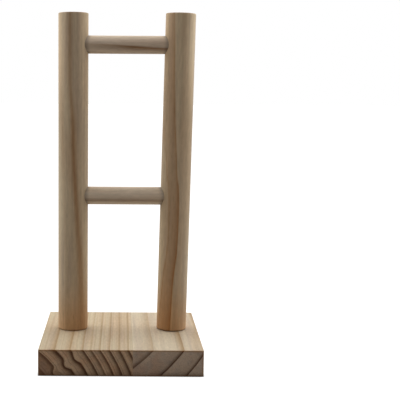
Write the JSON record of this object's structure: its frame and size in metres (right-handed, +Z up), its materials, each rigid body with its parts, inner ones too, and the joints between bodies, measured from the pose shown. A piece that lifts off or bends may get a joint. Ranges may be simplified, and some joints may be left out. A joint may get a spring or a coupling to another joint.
{
  "type": "headphone stand",
  "caption": "Wooden headphone stand: square base, round posts set behind its middle, an upper crossbar for the headband and a lower brace, let into the posts.",
  "frame": {"origin": "middle of the base's underside", "axes": "+Z up along the posts, +X to the right along the crossbars, +Y to the back"},
  "size_m": [0.13, 0.13, 0.2872],
  "materials": {
    "board_pine": "bare sanded pine, end grain on the front and back faces",
    "post_pine": "bare sanded pine dowel",
    "zinc_plated_steel": "zinc plated"
  },
  "bodies": {
    "root": {"base_board_left": "board_pine", "base_board_right": "board_pine", "post_left": "post_pine", "post_right": "post_pine", "crossbar_upper": "post_pine", "crossbar_lower": "post_pine", "post_screw_left": "zinc_plated_steel", "post_screw_right": "zinc_plated_steel"}
  },
  "joints": []
}
